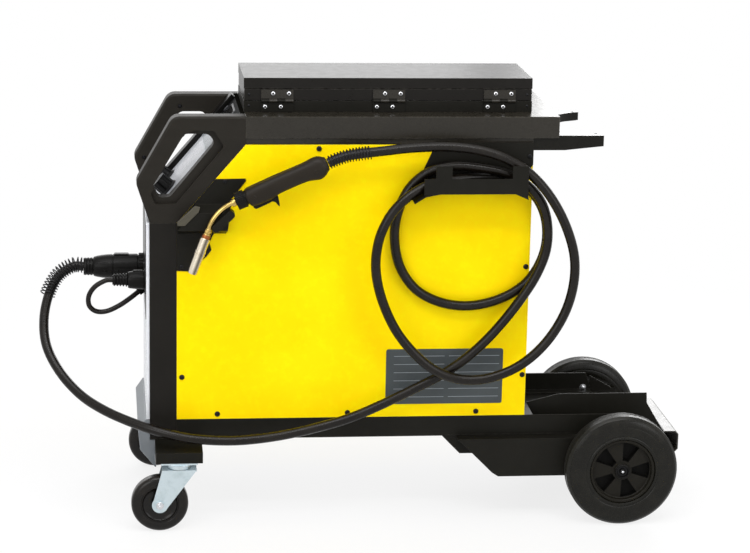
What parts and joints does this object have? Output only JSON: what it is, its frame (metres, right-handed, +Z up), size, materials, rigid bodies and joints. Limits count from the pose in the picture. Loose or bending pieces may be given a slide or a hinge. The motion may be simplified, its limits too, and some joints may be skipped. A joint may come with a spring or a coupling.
{
  "type": "wheeled wire-feed welder",
  "caption": "Wire-feed arc welder built into a cart, with push handles, lidded toolbox, gas bottle tray, casters, and a torch on its coiled cable.",
  "frame": {"origin": "centre of the footprint on the floor, cables left out", "axes": "+X towards the gas bottle tray at the back, +Y away from the torch side, +Z up"},
  "size_m": [1.1525, 0.42, 0.7855],
  "materials": {
    "powder_black": "satin",
    "powder_warm": "satin",
    "panel_yellow": "satin",
    "pale_plastic": "satin",
    "black_plastic": "satin",
    "handle_plastic": "matte",
    "zinc_steel": "satin",
    "tyre_rubber": "matte",
    "cable_rubber": "satin",
    "brass_tube": "satin",
    "nozzle_chrome": "polished",
    "copper_wire": "satin",
    "transformer_iron": "matte",
    "feed_aluminium": "satin"
  },
  "bodies": {
    "root": {"base_pan": "powder_black", "bottom_rails": "powder_black", "axle_carrier": "powder_black", "axle": "zinc_steel", "front_posts": "powder_warm", "handle_near": "handle_plastic", "handle_far": "handle_plastic", "top_cover": "powder_warm", "side_panel": "panel_yellow", "rear_panel": "powder_black", "partition": "zinc_steel", "front_panel": "pale_plastic", "control_panel": "pale_plastic", "front_cowl": "pale_plastic", "caster_hoods": "powder_black", "caster_plates": "zinc_steel", "bottle_guide": "powder_black", "rear_bumper": "powder_warm", "bottle_yoke": "powder_warm", "toolbox_tray": "powder_black", "fixed_hinges": "powder_black", "torch_holder": "powder_black", "cable_hanger": "powder_black", "torch_grip": "black_plastic", "torch_collar": "black_plastic", "torch_neck": "brass_tube", "torch_nozzle": "nozzle_chrome", "torch_spring": "cable_rubber", "front_sockets": "black_plastic", "panel_screws": "black_plastic", "power_unit": "transformer_iron", "feed_unit": "feed_aluminium", "mains_gland": "black_plastic", "gas_inlet": "brass_tube", "fan_frame": "black_plastic", "torch_cable": "cable_rubber", "torch_plug": "black_plastic", "plug_spring": "cable_rubber", "polarity_plug": "black_plastic", "polarity_lead": "cable_rubber"},
    "lid": {"toolbox_lid": "powder_warm", "lid_hinges": "powder_warm"},
    "door": {"access_door": "panel_yellow"},
    "latch": {"door_latch": "zinc_steel"},
    "wheel_near": {"rear_tyre_near": "tyre_rubber", "rear_rim_near": "black_plastic"},
    "wheel_far": {"rear_tyre_far": "tyre_rubber", "rear_rim_far": "black_plastic"},
    "fork_near": {"caster_fork_near": "zinc_steel"},
    "fork_far": {"caster_fork_far": "zinc_steel"},
    "roller_near": {"caster_wheel_near": "tyre_rubber"},
    "roller_far": {"caster_wheel_far": "tyre_rubber"},
    "trigger": {"torch_trigger": "black_plastic"},
    "knob_wire": {"wire_knob": "black_plastic"},
    "knob_volt": {"volt_knob": "black_plastic"},
    "switch": {"power_switch": "black_plastic"},
    "spool": {"wire_spool": "copper_wire"},
    "roll": {"feed_roll": "zinc_steel"},
    "arm": {"pressure_arm": "black_plastic"},
    "rotor": {"fan": "black_plastic"}
  },
  "joints": [
    {"name": "toolbox_lid", "type": "hinge", "parent": "root", "child": "lid", "pos_m": [-0.045, -0.0916, 0.746], "axis": [1, 0, 0], "range_deg": [0, 100]},
    {"name": "access_door", "type": "hinge", "parent": "root", "child": "door", "pos_m": [0.147, 0.1396, 0.42], "axis": [0, 0, -1], "range_deg": [0, 110]},
    {"name": "door_latch", "type": "hinge", "parent": "door", "child": "latch", "pos_m": [-0.385, 0.136, 0.346], "axis": [0, -1, 0], "range_deg": [0, 90]},
    {"name": "wheel_near", "type": "hinge", "parent": "root", "child": "wheel_near", "pos_m": [0.373, -0.1875, 0.1], "axis": [0, 1, 0], "continuous": true},
    {"name": "wheel_far", "type": "hinge", "parent": "root", "child": "wheel_far", "pos_m": [0.373, 0.1875, 0.1], "axis": [0, 1, 0], "continuous": true},
    {"name": "swivel_near", "type": "hinge", "parent": "root", "child": "fork_near", "pos_m": [-0.412, -0.184, 0.112], "axis": [0, 0, 1], "continuous": true},
    {"name": "swivel_far", "type": "hinge", "parent": "root", "child": "fork_far", "pos_m": [-0.412, 0.184, 0.112], "axis": [0, 0, 1], "continuous": true},
    {"name": "roller_near", "type": "hinge", "parent": "fork_near", "child": "roller_near", "pos_m": [-0.446, -0.184, 0.05], "axis": [0, 1, 0], "continuous": true},
    {"name": "roller_far", "type": "hinge", "parent": "fork_far", "child": "roller_far", "pos_m": [-0.446, 0.184, 0.05], "axis": [0, 1, 0], "continuous": true},
    {"name": "trigger", "type": "hinge", "parent": "root", "child": "trigger", "pos_m": [-0.28297, -0.178, 0.58227], "axis": [0, -1, 0], "range_deg": [0, 5], "stiffness_Nm_per_rad": 0.4, "springref_deg": -5.73},
    {"name": "wire_knob", "type": "hinge", "parent": "root", "child": "knob_wire", "pos_m": [-0.42622, 0.045, 0.58177], "axis": [-0.7594, 0, 0.6506], "range_deg": [-140, 140]},
    {"name": "volt_knob", "type": "hinge", "parent": "root", "child": "knob_volt", "pos_m": [-0.42622, -0.045, 0.58177], "axis": [-0.7594, 0, 0.6506], "range_deg": [-140, 140]},
    {"name": "power_switch", "type": "hinge", "parent": "root", "child": "switch", "pos_m": [0.205, 0.07, 0.616], "axis": [1, 0, 0], "range_deg": [0, 90]},
    {"name": "wire_spool", "type": "hinge", "parent": "root", "child": "spool", "pos_m": [-0.01, 0.066, 0.36], "axis": [0, 1, 0], "continuous": true},
    {"name": "feed_roll", "type": "hinge", "parent": "root", "child": "roll", "pos_m": [-0.285, 0.045, 0.403], "axis": [0, 1, 0], "continuous": true},
    {"name": "pressure_arm", "type": "hinge", "parent": "root", "child": "arm", "pos_m": [-0.319, 0.045, 0.451], "axis": [0, -1, 0], "range_deg": [0, 45]},
    {"name": "fan", "type": "hinge", "parent": "root", "child": "rotor", "pos_m": [0.189, -0.064, 0.336], "axis": [1, 0, 0], "continuous": true}
  ]
}
